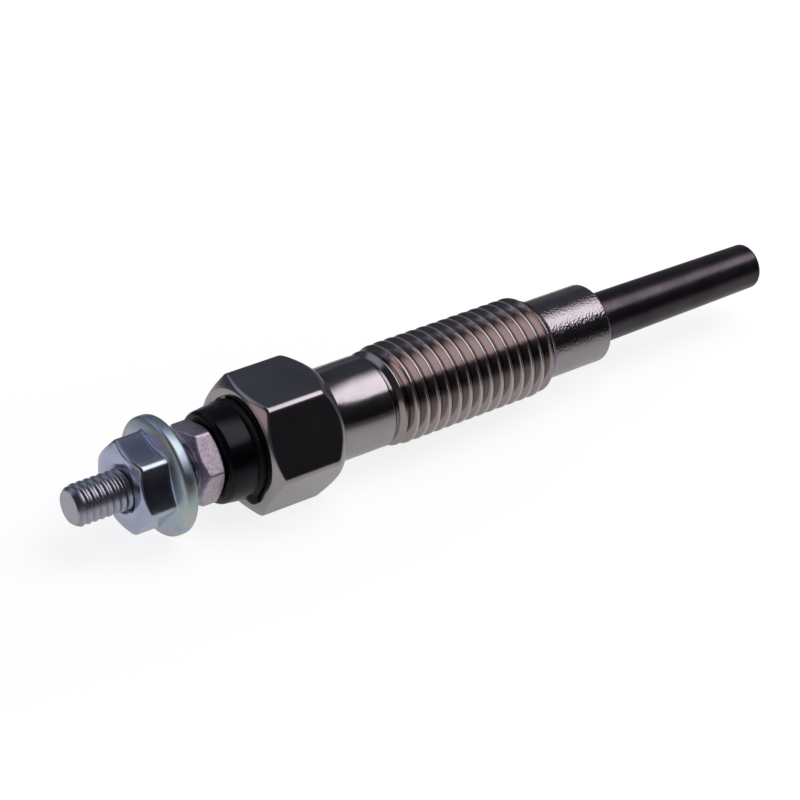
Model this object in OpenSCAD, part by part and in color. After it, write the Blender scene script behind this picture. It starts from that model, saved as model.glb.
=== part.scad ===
// Diesel glow plug with a sheathed heater, lying on one flat of its hexagon.
// Every piece is drawn upright on one axis, with z = 0 at the terminal side of the
// hexagon and the heater upwards. lie_down() then lays the whole plug along +X.

/* [Body] */
// Width of the body hexagon across its flats
hex_af = 12; // [11.5:0.1:14]
// Length of the body hexagon
hex_len = 8.2; // [6:0.1:12]
// How far the end chamfers of the hexagon reach in from its flats
hex_chamfer_in = 0.35; // [0.1:0.05:0.7]
// Angle of the chamfer on the terminal side to the end face
hex_front_angle = 30; // [15:1:45]
// Angle of the chamfer on the shank side to the end face
hex_back_angle = 50; // [15:1:60]
// How much the hexagon corners are rounded back
hex_corner_trim = 0.1; // [0.05:0.01:0.4]
// Diameter of the plain shank behind the hexagon
shank_d = 9.12; // [8.6:0.02:9.4]
// Length of the plain shank
shank_len = 5.4; // [3:0.1:20]
// Length over which the thread rises out of the shank
runout_len = 2.1; // [0.5:0.1:4]
// Outer diameter of the body thread
thread_d = 9.88; // [9.5:0.02:10.4]
// Length of the body thread at its full diameter
thread_len = 17.1; // [12:0.1:30]
// Length of the cone from the thread down to the nose
thread_end_len = 1.6; // [0.4:0.05:2]
// Diameter of the nose
nose_d = 7.9; // [7:0.05:8.6]
// Length of the nose
nose_len = 7.05; // [4:0.05:15]
// Radius on the end edge of the nose
nose_edge_r = 0.3; // [0.1:0.05:0.6]

/* [Body bore] */
// Depth of the recess in the hexagon that the seal ring sits in
mouth_depth = 0.35; // [0.2:0.05:0.8]
// Diameter of the long bore round the rod
main_bore_d = 5.8; // [5.5:0.1:6.2]
// Length of the bore that grips the sheath
press_len = 12; // [6:0.5:16]
// Chamfer on the edges where the bore changes diameter
bore_chamfer = 0.3; // [0.1:0.05:0.5]

/* [Sheath] */
// Diameter of the sheath where it leaves the body
sheath_d = 5.08; // [4.8:0.02:5.3]
// Diameter of the sheath just before its closed end
tip_d = 4.6; // [4.4:0.02:4.8]
// Length of the sheath outside the body
sheath_out_len = 21.55; // [18:0.05:35]
// Length of the sheath inside the body
sheath_in_len = 13; // [8:0.5:18]
// Wall of the sheath
sheath_wall = 0.55; // [0.4:0.05:0.6]
// Thickness of the closed end
tip_wall = 0.8; // [0.5:0.05:1.2]
// Radius on the edge of the closed end
tip_edge_r = 0.45; // [0.3:0.05:1.6]

/* [Rod] */
// Outer diameter of the terminal thread
stud_d = 3.9; // [3.7:0.05:4.2]
// Length of terminal thread in front of the flange nut
stud_free_len = 5.25; // [3:0.05:12]
// Length of the chamfer at the end of the stud
stud_chamfer_len = 0.5; // [0.2:0.05:0.8]
// Diameter of the flat end of the stud
stud_end_d = 3.1; // [2.6:0.05:3.4]
// Diameter of the plain rod, which is also the mean diameter of the terminal thread
rod_d = 3.5; // [3.1:0.05:3.6]
// Diameter of the rod where it enters the sheath
neck_d = 2.6; // [2.3:0.05:2.8]
// How far the neck reaches past the nose
neck_past_nose = 1; // [0:0.1:4]
// Diameter of the pin that carries the coils
pin_d = 1.5; // [1.2:0.05:1.5]
// Length of the pin that carries the coils
pin_len = 1.6; // [0.8:0.1:3]

/* [Terminal nut] */
// Width of the flange nut across its flats
terminal_af = 8; // [7:0.1:8.4]
// Height of the flange nut
terminal_h = 4.8; // [4:0.1:6]
// Diameter of its flange
flange_d = 11.3; // [10.6:0.1:11.8]
// Thickness of the flange at its rim
flange_rim_h = 1.4; // [0.8:0.05:1.6]
// Height of the cone between the hexagon and the rim
flange_cone_h = 0.55; // [0.3:0.05:1]
// Radius on both edges of the rim
flange_edge_r = 0.4; // [0.1:0.05:0.4]
// Turn of the flange nut against the body hexagon, in degrees
terminal_turn = 6.7; // [-30:0.1:30]

/* [Clamp nut] */
// Width of the clamp nut across its flats
clamp_af = 7; // [6.4:0.1:7.6]
// Height of the clamp nut
clamp_h = 2.4; // [2:0.1:4]
// Gap between the two nuts, left for the ring of the lead
lead_gap = 1.8; // [0.6:0.1:3]
// Turn of the clamp nut against the body hexagon, in degrees
clamp_turn = -14.3; // [-30:0.1:30]

/* [Nuts] */
// How far the chamfers of both nuts reach in from their flats
nut_chamfer_in = 0.3; // [0.1:0.05:0.5]
// Angle of those chamfers to the end faces
nut_chamfer_angle = 30; // [15:1:40]
// How much the corners of both nuts are rounded back
nut_corner_trim = 0.12; // [0.05:0.01:0.3]
// Depth of the countersink at each end of their threads
nut_sink = 0.75; // [0.3:0.05:0.9]

/* [Bush and seals] */
// Diameter of the collar of the bush at its front
collar_d = 8.9; // [8.2:0.1:9.6]
// Diameter of the collar where it meets the seal ring
collar_back_d = 9.4; // [8.6:0.1:10]
// Length of the collar of the bush
collar_len = 2.75; // [1.5:0.05:6]
// Radius on the front edge of the collar
collar_edge_r = 0.55; // [0.2:0.05:0.8]
// Diameter of the spigot that enters the body
spigot_d = 7; // [6.6:0.1:7.2]
// Length of the spigot
spigot_len = 5; // [3:0.1:6]
// Thickness of the seal ring before it is squeezed
ring_d = 1.25; // [1.2:0.05:1.6]
// Height of the seal ring once squeezed
ring_h = 1.1; // [0.9:0.05:1.15]
// Length of the seal in the open end of the sheath
tube_seal_len = 3; // [1.5:0.1:5]

/* [Coils] */
// Mean diameter of both coils
coil_d = 2.1; // [2:0.05:2.2]
// Diameter of their wire
wire_d = 0.4; // [0.3:0.02:0.4]
// Turns of the regulating coil
regulating_turns = 10; // [6:1:12]
// Turns of the heating coil
heating_turns = 7; // [5:1:8]
// Length of the heating coil
heating_len = 9; // [6:0.1:11]

/* [Clearances] */
// Radial clearance between the rod and the nuts, at the mean diameter of their threads
nut_clear = 0.02; // [0.01:0.01:0.1]
// Radial clearance between the stud and the bush
bush_clear = 0.1; // [0.05:0.01:0.15]
// Radial clearance between the spigot and the body
spigot_clear = 0.05; // [0.02:0.01:0.15]
// Gap under the end of the spigot
spigot_end_gap = 0.2; // [0.1:0.05:0.5]
// Radial clearance round the seal ring
ring_clear = 0.05; // [0.02:0.01:0.1]
// Clearance between the coils and the powder round them
wire_clear = 0.04; // [0.02:0.01:0.05]

/* [Hidden] */
$fn = 96;

// Places along the axis, from the hexagon to the heater tip
z_shank = hex_len;
z_runout = z_shank + shank_len;
z_thread = z_runout + runout_len;
z_thread_end = z_thread + thread_len;
z_nose = z_thread_end + thread_end_len;
z_nose_end = z_nose + nose_len;
z_tip = z_nose_end + sheath_out_len;

// Places along the axis, from the hexagon to the end of the stud
z_collar = mouth_depth - ring_h;
z_bush = z_collar - collar_len;
z_clamp = z_bush - clamp_h;
z_terminal = z_clamp - lead_gap - terminal_h;
z_stud = z_terminal - stud_free_len;

// Places inside the body and the sheath
z_spigot_end = z_collar + spigot_len;
z_step = z_spigot_end + spigot_end_gap;
z_sheath = z_nose_end - sheath_in_len;
z_press = z_nose_end - press_len;
z_neck_end = z_nose_end + neck_past_nose;
z_cavity_end = z_tip - tip_wall;
z_coils = z_neck_end + wire_d / 2 + 2 * wire_clear;
z_coils_end = z_cavity_end - wire_d / 2 - 2 * wire_clear;
z_join = z_coils_end - heating_len;

spigot_r = spigot_d / 2;
ring_mid_r = spigot_r + ring_d / 2;
mouth_r = spigot_r + ring_d + ring_clear;
upper_bore_r = spigot_r + spigot_clear;
coil_steps = 12;
wire_sides = 6;
// Length by which a cut runs past the face that it opens
past = 1;

// Points of a circular arc in the plane, from angle a0 to angle a1
function arc(centre, r, a0, a1, steps = 8) =
    [for (i = [0:steps]) let (a = a0 + (a1 - a0) * i / steps) centre + r * [cos(a), sin(a)]];

// Lays an upright piece along +X, on a flat of the hexagon, with the origin under the middle
module lie_down() {
    translate([-(z_stud + z_tip) / 2, 0, hex_af / 2])
        rotate([0, 90, 0])
            children();
}

// Hexagon bar with rounded corners and a chamfer of its own angle at each end
module hex_bar(af, len, inset, trim, start_angle, end_angle) {
    face_r = af / 2 - inset;
    corner_r = af / sqrt(3) - trim;
    slope = corner_r - face_r;
    intersection() {
        rotate(30)
            cylinder(r = af / sqrt(3), h = len, $fn = 6);
        rotate_extrude()
            polygon([
                [0, 0], [face_r, 0], [corner_r, slope * tan(start_angle)],
                [corner_r, len - slope * tan(end_angle)], [face_r, len], [0, len],
            ]);
    }
}

// Countersunk hole through a nut of height h
module nut_hole(h) {
    hole_r = rod_d / 2 + nut_clear;
    translate([0, 0, -past])
        cylinder(r = hole_r, h = h + 2 * past);
    for (end = [0, 1])
        translate([0, 0, end * h])
            mirror([0, 0, end])
                cylinder(r1 = hole_r + nut_sink, r2 = hole_r, h = nut_sink);
}

// Turned outside of the body behind the hexagon
module body_turning() {
    rotate_extrude()
        polygon(concat(
            [
                [0, z_shank / 2], [shank_d / 2, z_shank / 2], [shank_d / 2, z_runout],
                [thread_d / 2, z_thread], [thread_d / 2, z_thread_end], [nose_d / 2, z_nose],
            ],
            arc([nose_d / 2 - nose_edge_r, z_nose_end - nose_edge_r], nose_edge_r, 0, 90),
            [[0, z_nose_end]]
        ));
}

// Stepped bore, from the seal recess to the grip on the sheath
module body_bore() {
    main_r = main_bore_d / 2;
    sheath_r = sheath_d / 2;
    rotate_extrude()
        polygon([
            [0, -past], [mouth_r, -past], [mouth_r, mouth_depth], [upper_bore_r, mouth_depth],
            [upper_bore_r, z_step], [main_r + bore_chamfer, z_step], [main_r, z_step + bore_chamfer],
            [main_r, z_press - (main_r - sheath_r)], [sheath_r, z_press],
            [sheath_r, z_nose_end + past], [0, z_nose_end + past],
        ]);
}

module body_shell() {
    color("gainsboro")
        lie_down()
            difference() {
                union() {
                    hex_bar(hex_af, hex_len, hex_chamfer_in, hex_corner_trim,
                        hex_front_angle, hex_back_angle);
                    body_turning();
                }
                body_bore();
            }
}

// Rod with the free end of its thread at full diameter, as far as the flange nut
module centre_rod() {
    stud_r = stud_d / 2;
    color("lightsteelblue")
        lie_down()
            rotate_extrude()
                polygon([
                    [0, z_stud], [stud_end_d / 2, z_stud], [stud_r, z_stud + stud_chamfer_len],
                    [stud_r, z_terminal], [rod_d / 2, z_terminal],
                    [rod_d / 2, z_sheath - (rod_d - neck_d) / 2], [neck_d / 2, z_sheath],
                    [neck_d / 2, z_neck_end], [pin_d / 2, z_neck_end],
                    [pin_d / 2, z_neck_end + pin_len], [0, z_neck_end + pin_len],
                ]);
}

// Flange of the terminal nut: cone, rounded rim and flat bearing face
module nut_flange() {
    rim_r = flange_d / 2;
    z_rim = terminal_h - flange_rim_h;
    rotate_extrude()
        polygon(concat(
            [[0, z_rim - flange_cone_h], [terminal_af / 2, z_rim - flange_cone_h]],
            arc([rim_r - flange_edge_r, z_rim + flange_edge_r], flange_edge_r, -60, 0),
            arc([rim_r - flange_edge_r, terminal_h - flange_edge_r], flange_edge_r, 0, 90),
            [[0, terminal_h]]
        ));
}

module terminal_flange_nut() {
    color("silver")
        lie_down()
            translate([0, 0, z_terminal])
                rotate(terminal_turn)
                    difference() {
                        union() {
                            hex_bar(terminal_af, terminal_h - flange_rim_h / 2,
                                nut_chamfer_in, nut_corner_trim, nut_chamfer_angle, 0);
                            nut_flange();
                        }
                        nut_hole(terminal_h);
                    }
}

module clamp_nut() {
    color("lightgray")
        lie_down()
            translate([0, 0, z_clamp])
                rotate(clamp_turn)
                    difference() {
                        hex_bar(clamp_af, clamp_h, nut_chamfer_in, nut_corner_trim,
                            nut_chamfer_angle, nut_chamfer_angle);
                        nut_hole(clamp_h);
                    }
}

module insulator_bush() {
    hole_r = stud_d / 2 + bush_clear;
    collar_r = collar_d / 2;
    color("black")
        lie_down()
            rotate_extrude()
                polygon(concat(
                    [[hole_r, z_bush]],
                    arc([collar_r - collar_edge_r, z_bush + collar_edge_r], collar_edge_r, -90, 0),
                    [
                        [collar_back_d / 2, z_collar], [spigot_r, z_collar],
                        [spigot_r, z_spigot_end], [hole_r, z_spigot_end],
                    ]
                ));
}

// Round section squeezed flat between the collar and the recess
module o_ring_seal() {
    color("dimgray")
        lie_down()
            rotate_extrude()
                translate([ring_mid_r, z_collar + ring_h / 2])
                    intersection() {
                        circle(d = ring_d);
                        square([ring_d + past, ring_h], center = true);
                    }
}

// Section of the sheath's inside, which the powder and the seal share
module cavity_section() {
    root_r = sheath_d / 2 - sheath_wall;
    end_r = tip_d / 2 - sheath_wall;
    polygon([
        [0, z_sheath], [root_r, z_sheath], [root_r, z_nose_end],
        [end_r, z_cavity_end], [0, z_cavity_end],
    ]);
}

module heater_sheath() {
    color("darkslategray")
        lie_down()
            rotate_extrude()
                difference() {
                    polygon(concat(
                        [
                            [0, z_sheath], [sheath_d / 2, z_sheath], [sheath_d / 2, z_nose_end],
                        ],
                        arc([tip_d / 2 - tip_edge_r, z_tip - tip_edge_r], tip_edge_r, 0, 90),
                        [[0, z_tip]]
                    ));
                    cavity_section();
                }
}

module tube_seal() {
    color("black")
        lie_down()
            translate([0, 0, z_sheath])
                difference() {
                    cylinder(r = sheath_d / 2 - sheath_wall, h = tube_seal_len);
                    translate([0, 0, -past])
                        cylinder(d = neck_d, h = tube_seal_len + 2 * past);
                }
}

// Rings of points round a helix, one ring for each step of a turn
function coil_rings(z0, z1, turns, wire_r) = [
    for (i = [0:turns * coil_steps])
        let (a = 360 * i / coil_steps, z = z0 + (z1 - z0) * i / (turns * coil_steps))
            [for (k = [0:wire_sides - 1])
                let (b = 360 * k / wire_sides, r = coil_d / 2 + wire_r * cos(b))
                    [r * cos(a), r * sin(a), z + wire_r * sin(b)]]
];

// Closed tube through rings of points
module tube(rings) {
    n = wire_sides;
    last = len(rings) - 1;
    polyhedron(
        [for (ring = rings) for (p = ring) p],
        concat(
            [[for (k = [0:n - 1]) n - 1 - k]],
            [for (i = [0:last - 1]) for (k = [0:n - 1])
                [i * n + k, i * n + (k + 1) % n, (i + 1) * n + (k + 1) % n]],
            [for (i = [0:last - 1]) for (k = [0:n - 1])
                [i * n + k, (i + 1) * n + (k + 1) % n, (i + 1) * n + k]],
            [[for (k = [0:n - 1]) last * n + k]]
        )
    );
}

function regulating_rings(wire_r) = coil_rings(z_coils, z_join, regulating_turns, wire_r);
function heating_rings(wire_r) = coil_rings(z_join, z_coils_end, heating_turns, wire_r);

module magnesia_fill() {
    void_r = wire_d / 2 + wire_clear;
    heating = heating_rings(void_r);
    color("ivory")
        lie_down()
            difference() {
                rotate_extrude()
                    difference() {
                        cavity_section();
                        translate([0, z_sheath - past])
                            square([sheath_d, tube_seal_len + past]);
                        square([neck_d / 2, z_neck_end]);
                        square([pin_d / 2, z_neck_end + pin_len]);
                    }
                tube(concat(
                    regulating_rings(void_r),
                    [for (i = [1:len(heating) - 1]) heating[i]]
                ));
            }
}

module regulating_coil() {
    color("goldenrod")
        lie_down()
            tube(regulating_rings(wire_d / 2));
}

module heating_coil() {
    color("orangered")
        lie_down()
            tube(heating_rings(wire_d / 2));
}

body_shell();
centre_rod();
terminal_flange_nut();
clamp_nut();
insulator_bush();
o_ring_seal();
heater_sheath();
tube_seal();
magnesia_fill();
regulating_coil();
heating_coil();
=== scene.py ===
# %% [markdown]
# # A diesel glow plug
# A glow plug screws into the cylinder head of a diesel engine and warms the chamber before a start.
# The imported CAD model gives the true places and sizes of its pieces. This lesson dresses that model:
# each visible piece is modelled again with its threads and soft edges, and every piece gets a finish.

# %% Load the frame
import math

import bmesh
import bpy
from mathutils import Matrix, Vector


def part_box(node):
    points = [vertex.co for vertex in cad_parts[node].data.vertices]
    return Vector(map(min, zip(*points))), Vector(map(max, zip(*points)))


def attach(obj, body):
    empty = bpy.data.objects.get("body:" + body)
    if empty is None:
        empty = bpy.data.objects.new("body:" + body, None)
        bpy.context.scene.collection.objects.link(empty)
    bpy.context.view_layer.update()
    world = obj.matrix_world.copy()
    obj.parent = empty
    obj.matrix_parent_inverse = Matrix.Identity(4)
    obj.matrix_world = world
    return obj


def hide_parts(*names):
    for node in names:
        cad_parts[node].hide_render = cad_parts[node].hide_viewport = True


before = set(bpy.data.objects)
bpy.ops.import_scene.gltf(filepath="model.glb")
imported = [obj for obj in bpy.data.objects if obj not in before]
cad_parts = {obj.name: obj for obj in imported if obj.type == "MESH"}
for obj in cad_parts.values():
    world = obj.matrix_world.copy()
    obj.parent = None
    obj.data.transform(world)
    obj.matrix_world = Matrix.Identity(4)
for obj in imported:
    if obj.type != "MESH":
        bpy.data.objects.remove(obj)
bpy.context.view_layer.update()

# %% [markdown]
# Everything on a glow plug is turned, rolled or pressed about one axis. So the lesson keeps to
# millimetres along that axis (x) and away from it (r), and reads the places from the frame.

# %% The axis and the places along it
MM = 0.001
BODY = "root"
body_low, body_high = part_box("body_shell")
AXIS_Z = (body_low.z + body_high.z) / 2
AXIS = Vector((0, 0, AXIS_Z))
X_AXIS = (1, 0, 0)


def stretch(node):
    """Start, end and largest radius of a CAD node, in millimetres along and away from the axis."""
    low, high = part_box(node)
    return low.x / MM, high.x / MM, max(high.y, high.z - AXIS_Z) / MM


x_hex, x_nose_end, _ = stretch("body_shell")
x_stud_tip, x_rod_end, stud_r = stretch("centre_rod")
x_nut, x_nut_end, flange_r = stretch("terminal_flange_nut")
x_clamp, x_clamp_end, _ = stretch("clamp_nut")
x_bush, x_bush_end, collar_r = stretch("insulator_bush")
x_ring, x_ring_end, ring_outer_r = stretch("o_ring_seal")
x_sheath, x_sheath_tip, sheath_r = stretch("heater_sheath")
hex_af = (body_high.z - body_low.z) / MM
print(f"stud tip at {x_stud_tip:.2f}, hexagon at {x_hex:.2f}, sheath tip at {x_sheath_tip:.2f} mm")

# %% [markdown]
# The camera stands where the photographer stood: in front of the terminal end, looking down on the
# plug. Its lens is long, so the plug narrows only a little towards the heater tip.

# %% The camera
AZIMUTH = math.radians(-39.57)
ELEVATION = math.radians(34.34)
ROLL = math.radians(5.16)
DISTANCE = 261.2 * MM
AIM = Vector((-4.54, -0.64, 5.28)) * MM
LENS = 124.56

camera_data = bpy.data.cameras.new("camera")
camera_data.sensor_width = 36
camera_data.lens = LENS
camera_data.clip_start = 0.01
camera = bpy.data.objects.new("camera", camera_data)
bpy.context.collection.objects.link(camera)
backwards = Vector((
    math.sin(AZIMUTH) * math.cos(ELEVATION),
    -math.cos(AZIMUTH) * math.cos(ELEVATION),
    math.sin(ELEVATION),
))
level = backwards.to_track_quat("Z", "Y").to_matrix().to_4x4()
camera.matrix_world = Matrix.Translation(AIM + DISTANCE * backwards) @ level @ Matrix.Rotation(ROLL, 4, "Z")
bpy.context.scene.camera = camera
bpy.context.scene.view_settings.view_transform = "Standard"
print("camera at", [round(1000 * c, 1) for c in camera.matrix_world.translation], "mm")

# %% [markdown]
# A lathe makes most of the pieces, and Spin is Blender's lathe: an outline of a few points, drawn
# above the axis, is swept round it. One helper draws the outline and spins it, and another gives
# the points of a rounded edge.

# %% The lathe
ROUND_STEPS = 144
MERGE_DISTANCE = 1e-7


def arc(x, r, radius, start, end, points=5):
    """Points of a rounded edge about (x, r), from angle start to angle end in degrees from +x."""
    turn = [math.radians(start + (end - start) * i / (points - 1)) for i in range(points)]
    return [(x + radius * math.cos(a), r + radius * math.sin(a)) for a in turn]


def line(first, last, pieces):
    """Points from first towards last on a straight line, evenly spaced, without last itself."""
    shares = [i / pieces for i in range(pieces)]
    return [(first[0] + (last[0] - first[0]) * s, first[1] + (last[1] - first[1]) * s) for s in shares]


def revolve(bm, outline, closed=False, steps=ROUND_STEPS):
    """Spins an outline of (x, r) points about the axis."""
    points = [bm.verts.new((x * MM, 0, AXIS_Z + r * MM)) for x, r in outline]
    ends = points[1:] + points[:1] if closed else points[1:]
    lines = [bm.edges.new(pair) for pair in zip(points, ends)]
    bmesh.ops.spin(
        bm, geom=points + lines, cent=AXIS, axis=X_AXIS,
        angle=2 * math.pi, steps=steps, use_merge=True,
    )
    bmesh.ops.remove_doubles(bm, verts=bm.verts, dist=MERGE_DISTANCE)


def radius_of(vert):
    """Distance of a vertex from the axis, in millimetres."""
    return math.hypot(vert.co.y, vert.co.z - AXIS_Z) / MM


def set_radius(vert, r):
    """Moves a vertex in or out from the axis to radius r."""
    share = r / radius_of(vert)
    vert.co.y *= share
    vert.co.z = AXIS_Z + (vert.co.z - AXIS_Z) * share


# %% [markdown]
# Each finished mesh is closed and points outwards. Weighted normals keep large flats flat in a
# reflection and let the narrow rounded edges carry the turn from one face to the next.

# %% Finish a piece
SHARP_ANGLE = math.radians(50)


def make_piece(bm, node, material):
    """Turns a bmesh into the visible piece that stands for a CAD node."""
    bmesh.ops.remove_doubles(bm, verts=bm.verts, dist=MERGE_DISTANCE)
    bmesh.ops.recalc_face_normals(bm, faces=bm.faces)
    for face in bm.faces:
        face.smooth = True
    for edge in bm.edges:
        if edge.calc_face_angle(0) > SHARP_ANGLE:
            edge.smooth = False
    open_edges = sum(1 for edge in bm.edges if not edge.is_manifold)
    mesh = bpy.data.meshes.new(node)
    bm.to_mesh(mesh)
    bm.free()
    mesh.materials.append(material)
    piece = bpy.data.objects.new("dressed_" + node, mesh)
    bpy.context.collection.objects.link(piece)
    weighting = piece.modifiers.new("flat faces stay flat", "WEIGHTED_NORMAL")
    weighting.keep_sharp = True
    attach(piece, BODY)
    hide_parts(node)
    print(f"{node}: {len(mesh.polygons)} faces, {open_edges} edges not closed")
    return piece


# %% [markdown]
# A hexagon is milled on a turned blank: each point of the blank that stands out of the hexagon moves
# in to it. A soft minimum rounds the edge where the two meet, and a blank with chamfered ends leaves
# the arcs that every nut has at the ends of its flats.

# %% Mill a hexagon
HEX_STEPS = 288
SIXTH = math.pi / 3
SAME_PLACE = 1e-3


def soft_min(a, b, width):
    """The smaller of a and b, rounded off where they differ by less than width."""
    near = max(width - abs(a - b), 0.0)
    return min(a, b) - near * near / (4 * width)


def hexagon_radius(vert, af, corner_r):
    """Radius of a hexagon with rounded corners in the direction of a vertex; one flat lies below."""
    angle = math.atan2(vert.co.z - AXIS_Z, vert.co.y)
    from_corner = abs((angle + SIXTH / 2) % SIXTH - SIXTH / 2)
    centre = (af / 2 - corner_r) / math.cos(SIXTH / 2)
    tangent = math.atan2(corner_r / 2, centre + corner_r * math.cos(SIXTH / 2))
    if from_corner > tangent:
        return af / 2 / math.cos(SIXTH / 2 - from_corner)
    across = centre * math.sin(from_corner)
    return centre * math.cos(from_corner) + math.sqrt(corner_r ** 2 - across ** 2)


def mill_hexagon(bm, af, corner_r, soft, start, end):
    """Mills the blank in bm to a hexagon between start and end."""
    for vert in bm.verts:
        if start - SAME_PLACE < vert.co.x / MM < end + SAME_PLACE:
            set_radius(vert, soft_min(radius_of(vert), hexagon_radius(vert, af, corner_r), soft))


def turn_piece(bm, degrees):
    """Turns everything in bm about the axis."""
    turn = Matrix.Rotation(math.radians(degrees), 3, "X")
    bmesh.ops.rotate(bm, verts=bm.verts, cent=AXIS, matrix=turn)


# %% [markdown]
# A rolled thread is a spin that moves one pitch along the axis in each full turn. The outline holds
# a row of ridges, so the end of the turn meets the start of the next ridge and the two are merged.
# The radius is then limited at the ends, as a die and a chamfer would, and Bisect trims the length.

# %% The thread roller
# One ridge from root to root: share of the pitch, share of the depth
FLANK_TOP, FLANK_FOOT = 0.04, 0.955
RIDGE = (
    (0.00, 1.00), (0.055, 1.00), (0.10, FLANK_FOOT), (0.425, FLANK_TOP), (0.445, 0.005),
    (0.50, 0.00), (0.555, 0.005), (0.575, FLANK_TOP), (0.90, FLANK_FOOT), (0.945, 1.00),
)
SAME_RADIUS = 1e-4
SPARE_TURNS = 3
TURN_MERGE = 2e-6


def keep_flanks_flat(bm, radii):
    """Marks edges along the thread at these radii as sharp, so that the flanks mirror as flats."""
    for edge in bm.edges:
        a, b = (radius_of(vert) for vert in edge.verts)
        if abs(a - b) < SAME_RADIUS and any(abs(a - r) < SAME_RADIUS for r in radii):
            edge.smooth = False


def cut_end(bm, x, direction):
    """Trims bm at x, on the side that direction points to."""
    bmesh.ops.bisect_plane(
        bm, geom=bm.verts[:] + bm.edges[:] + bm.faces[:], dist=MERGE_DISTANCE,
        plane_co=(x * MM, 0, 0), plane_no=(direction, 0, 0), clear_outer=True,
    )


def roll_thread(bm, start, end, crest_r, depth, pitch, shape_end):
    """Rolls a right-hand thread from start to end; shape_end(x, r) gives the radius near the ends."""
    turns = math.ceil((end - start) / pitch) + SPARE_TURNS
    outline = [
        (start + (turn - SPARE_TURNS + 1 + share) * pitch, crest_r - depth * low)
        for turn in range(turns) for share, low in RIDGE
    ]
    points = [bm.verts.new((x * MM, 0, AXIS_Z + r * MM)) for x, r in outline]
    lines = [bm.edges.new(pair) for pair in zip(points, points[1:])]
    bmesh.ops.spin(
        bm, geom=points + lines, cent=AXIS, axis=X_AXIS, dvec=(pitch * MM / ROUND_STEPS, 0, 0),
        angle=2 * math.pi, steps=ROUND_STEPS,
    )
    bmesh.ops.remove_doubles(bm, verts=bm.verts, dist=TURN_MERGE)
    keep_flanks_flat(bm, (crest_r - depth * FLANK_TOP, crest_r - depth * FLANK_FOOT))
    for vert in bm.verts:
        set_radius(vert, shape_end(vert.co.x / MM, radius_of(vert)))
    cut_end(bm, end, 1)
    cut_end(bm, start, -1)


def rim_at(bm, x):
    """Open edges of bm that lie in the plane at x."""
    return [
        edge for edge in bm.edges
        if edge.is_boundary and all(abs(vert.co.x / MM - x) < SAME_PLACE for vert in edge.verts)
    ]


def join_rims(bm, x_a, x_b):
    """Bridges the open rim at x_a to the open rim at x_b."""
    bmesh.ops.bridge_loops(bm, edges=rim_at(bm, x_a) + rim_at(bm, x_b))


# %% [markdown]
# ## Finishes
# Plated steel is never one even colour: it has cloudy patches, a fine grain and faint turning rings.
# Several finishes share these effects, so each is a node group with its own inputs. The groups read
# Object coordinates, which stay fixed to the pieces, and put out only values and colours.

# %% Start a node group
def start_group(name, inputs, outputs):
    """A shader group with named sockets; inputs map a name to its type and default."""
    group = bpy.data.node_groups.new(name, "ShaderNodeTree")
    for socket, (kind, value) in inputs.items():
        made = group.interface.new_socket(socket, in_out="INPUT", socket_type="NodeSocket" + kind)
        if value is not None:
            made.default_value = value
    for socket, kind in outputs.items():
        group.interface.new_socket(socket, in_out="OUTPUT", socket_type="NodeSocket" + kind)
    return group, group.nodes.new("NodeGroupInput"), group.nodes.new("NodeGroupOutput")


def add_node(tree, kind, links=None, **settings):
    """Adds a node, sets its properties, and links or sets its inputs by name or number."""
    node = tree.nodes.new("ShaderNode" + kind)
    for name, value in settings.items():
        setattr(node, name, value)
    for socket, value in (links or {}).items():
        if isinstance(value, bpy.types.NodeSocket):
            tree.links.new(value, node.inputs[socket])
        else:
            node.inputs[socket].default_value = value
    return node


# %% [markdown]
# Cloudy patches: slow noise, stretched to the range that a material asks for.

# %% Cloudy patches
def make_patches():
    group, given, put = start_group(
        "cloudy_patches",
        {"Vector": ("Vector", None), "Scale": ("Float", 400.0),
         "Low": ("Float", 0.0), "High": ("Float", 1.0)},
        {"Value": "Float"},
    )
    noise = add_node(group, "TexNoise", {
        "Vector": given.outputs["Vector"], "Scale": given.outputs["Scale"], "Detail": 4.0, "Roughness": 0.55,
    })
    spread = add_node(group, "MapRange", {
        "Value": noise.outputs["Fac"], "From Min": 0.32, "From Max": 0.68,
        "To Min": given.outputs["Low"], "To Max": given.outputs["High"],
    })
    group.links.new(spread.outputs["Result"], put.inputs["Value"])
    return group


CLOUDY_PATCHES = make_patches()
print("group made:", CLOUDY_PATCHES.name)

# %% [markdown]
# Plating grain: rounded bumps as on orange peel, with finer noise over them, as a height.

# %% Plating grain
FINER = 3.1


def make_grain():
    group, given, put = start_group(
        "plating_grain",
        {"Vector": ("Vector", None), "Scale": ("Float", 3000.0), "Fine": ("Float", 0.3)},
        {"Height": "Float"},
    )
    bumps = add_node(group, "TexVoronoi", {
        "Vector": given.outputs["Vector"], "Scale": given.outputs["Scale"], "Smoothness": 1.0,
    }, feature="SMOOTH_F1")
    finer = add_node(group, "Math", {0: given.outputs["Scale"], 1: FINER}, operation="MULTIPLY")
    noise = add_node(group, "TexNoise", {
        "Vector": given.outputs["Vector"], "Scale": finer.outputs["Value"], "Detail": 3.0,
    })
    mixed = add_node(group, "Math", {
        0: noise.outputs["Fac"], 1: given.outputs["Fine"], 2: bumps.outputs["Distance"],
    }, operation="MULTIPLY_ADD")
    group.links.new(mixed.outputs["Value"], put.inputs["Height"])
    return group


PLATING_GRAIN = make_grain()
print("group made:", PLATING_GRAIN.name)

# %% [markdown]
# Turning rings: noise that changes along the axis only, so it draws rings round the piece.

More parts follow.
